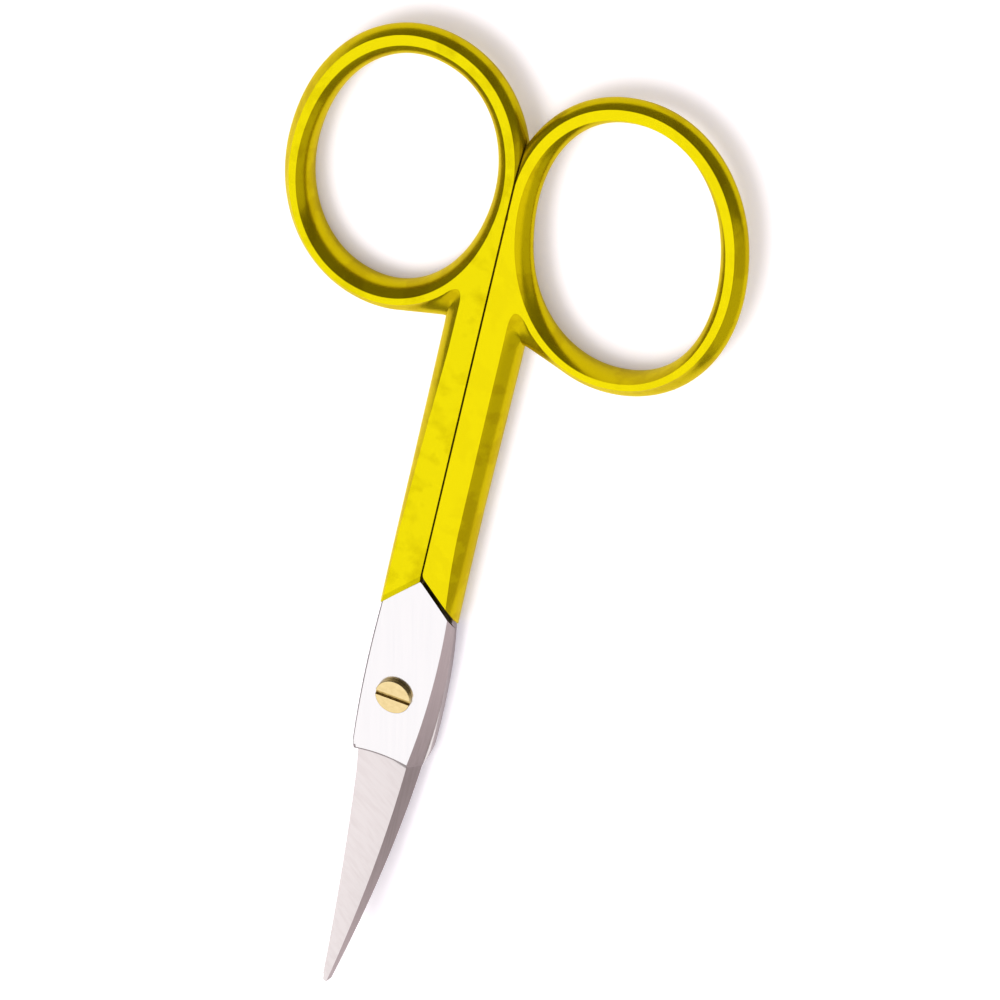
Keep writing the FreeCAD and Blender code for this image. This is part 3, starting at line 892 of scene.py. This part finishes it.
def make_blade(name, body, node, up, edge, spine_top, spine_bottom, shoulder):
    """One half's leaf and blade, from its outlines as functions of y, with its finishes."""
    def which(centre, normal):
        """0 polished leaf, 1 ground faces, 2 upright sides in painted shade, 3 the arris round the
        leaf, a painted shade line.
        """
        heel = heel_line(centre[:, 0] * up)
        on_leaf = centre[:, 1] >= heel - HEEL_MARGIN
        outward = normal[:, 2] * up
        near_edge = np.abs(centre[:, 0] - edge(centre[:, 1])) < ARRIS * 0.9
        near_heel = (centre[:, 1] < heel + ARRIS) & (outward > OUTER_FACE)
        kind = np.where(np.abs(normal[:, 0]) < UPRIGHT_FACE, GROUND, SIDE_SHADE)
        kind[on_leaf & (outward > OUTER_FACE)] = LEAF
        kind[on_leaf & (outward > TILTED_FACE) & (near_edge | near_heel)] = ARRIS_SHADE_LINE
        return kind.astype(np.int32)

    work = blade_skin(up, edge, spine_top, spine_bottom, shoulder)
    # The eased edges take the spine steel, a painted shade line along each edge.
    finished(work, name, body, node, STEELS, which, edge_finish=SIDE_SHADE)


make_blade(
    "upper_blade_ground", "upper_half", "upper_blade", 1,
    edge=bowed([(8.8, -2.98), (-6.3, -2.76), (-7.1, -2.47), (TIP_Y, 0.5)], [-0.2, 0, 0.05]),
    spine_top=bowed([(9.5, 2.98), (-6.8, 2.56), (TIP_Y, 0.9)], [0.36, 0.25]),
    spine_bottom=bowed([(9.3, 3.48), (-7.1, 3.6), (TIP_Y, 1.1)], [0.38, 0.32]),
    shoulder={"fall_left": 1.19, "apex": 12.27, "fall_right": 0.92, "undercut": 1.0})
make_blade(
    "lower_blade_ground", "lower_half", "lower_blade", -1,
    edge=bowed([(9.3, 2.9), (4, 3.75), (-4.5, 3.98), (-7.4, 3.3), (TIP_Y, 0.8)],
               [0.1, 0.1, 0.1, -0.3]),
    spine_top=bowed([(9.3, -2.65), (-6.9, -2.0), (TIP_Y, 0.2)], [-0.4, -0.15]),
    spine_bottom=bowed([(9.3, -3.2), (-6.9, -2.5), (TIP_Y, 0.2)], [-0.4, -0.1]),
    shoulder={"fall_left": 1.25, "apex": 11.9, "fall_right": 0.84, "undercut": 0.0})

# %% [markdown]
# ## Brass
#
# The screw is turned brass, bright on its top face, with a darker brass on its rim and in its
# slot as painted shade.  Two separate materials could be drawn up by hand; one recipe makes
# both tones, and each face picks its own.

# %% Brass
def brass(name, light, dark):
    """Turned brass, clouded by fine spots that also roughen it a little."""
    material, shader, tree = new_material(name)
    shader.inputs["Metallic"].default_value = 1.0
    spots = noise(tree, 2500, 3)
    colour_ramp(tree, shader, spots, dark, light, 0.35, 0.65)
    roughness_range(tree, shader, spots, 0.2, 0.26)
    bump(tree, shader, [(spots, 0.1, 0.000003)])
    return material


bright_brass = brass("screw_brass", (0.69, 0.56, 0.285), (0.63, 0.50, 0.245))
# The dull brass is darker as painted shade, in the slot and on the head's wall.
shaded_brass = brass("screw_brass_painted_shade", (0.52, 0.38, 0.13), (0.36, 0.25, 0.08))
print("brasses:", bright_brass.name, shaded_brass.name)

# %% [markdown]
# ## The pivot screw
#
# A cheese-head screw: a round head with a softly broken rim, a straight slot that the driver
# fits, and a plain shank through both leaves.  A cylinder with a Boolean slot would leave long
# thin faces.  Here the head is a height field in rows that lie along the slot, with two rows at
# the same place on each side of it, one up and one down, which gives the slot upright walls.
# The shank is a profile spun round the pivot.

# %% Screw
HEAD_RADIUS, HEAD_SEAT, HEAD_TOP = 1.62, 3.08, 3.50
RIM_ROUND, SLOT_HALF, SLOT_FLOOR = 0.08, 0.23, 3.30
SLOT_TURN = math.radians(3.1)
ROWS_BESIDE_SLOT, POINTS_ALONG, POINTS_ROUND = 24, 49, 96


def screw_head():
    """A round height field crossed by the slot: rows over the top, then back under the seat."""
    spread = np.sin(np.linspace(0, math.pi / 2, ROWS_BESIDE_SLOT))
    beside = SLOT_HALF + (HEAD_RADIUS - SLOT_HALF) * spread
    b = np.concatenate([-beside[::-1], [-SLOT_HALF, SLOT_HALF], beside])[:, None]
    in_slot = np.zeros(b.shape, bool)
    in_slot[ROWS_BESIDE_SLOT:ROWS_BESIDE_SLOT + 2] = True
    reach = np.sqrt(np.maximum(HEAD_RADIUS ** 2 - b ** 2, 0))
    a = reach * np.sin(np.linspace(-math.pi / 2, math.pi / 2, POINTS_ALONG))[None, :]
    over = np.maximum(np.hypot(a, b) - (HEAD_RADIUS - RIM_ROUND), 0)
    top = HEAD_TOP - (RIM_ROUND - np.sqrt(np.maximum(RIM_ROUND ** 2 - over ** 2, 0)))
    top = np.where(in_slot, SLOT_FLOOR, top)
    z = np.concatenate([top, np.full_like(top, HEAD_SEAT)], 1)
    a = np.concatenate([a, a[:, ::-1]], 1)
    x = a * math.cos(SLOT_TURN) - b * math.sin(SLOT_TURN)
    y = a * math.sin(SLOT_TURN) + b * math.cos(SLOT_TURN)
    return np.stack([x, y, z], -1)


def screw_shank():
    """A turned profile: radius and height pairs spun round the pivot."""
    radius = np.array([0, 0.55, 0.92, 0.99, 1.0, 1.0, 0.0])[:, None]
    height = np.array([0.31, 0.31, 0.33, 0.37, 0.45, HEAD_SEAT + 0.05, HEAD_SEAT + 0.05])[:, None]
    turn = np.linspace(0, 2 * math.pi, POINTS_ROUND, endpoint=False)[None, :]
    return np.stack([radius * np.cos(turn), radius * np.sin(turn), height + 0 * turn], -1)


def screw_finish(centre, normal):
    """0 on the head's bright face; 1, darker brass as painted shade, in the slot, on the head's wall
    and on the shank.
    """
    return ((centre[:, 2] < SLOT_FLOOR + 0.01) | (normal[:, 2] < 0.4)).astype(np.int32)


finished(skin([screw_head(), screw_shank()]), "pivot_screw_slotted", "lower_half", "pivot_screw",
         [bright_brass, shaded_brass], screw_finish, ease=0)
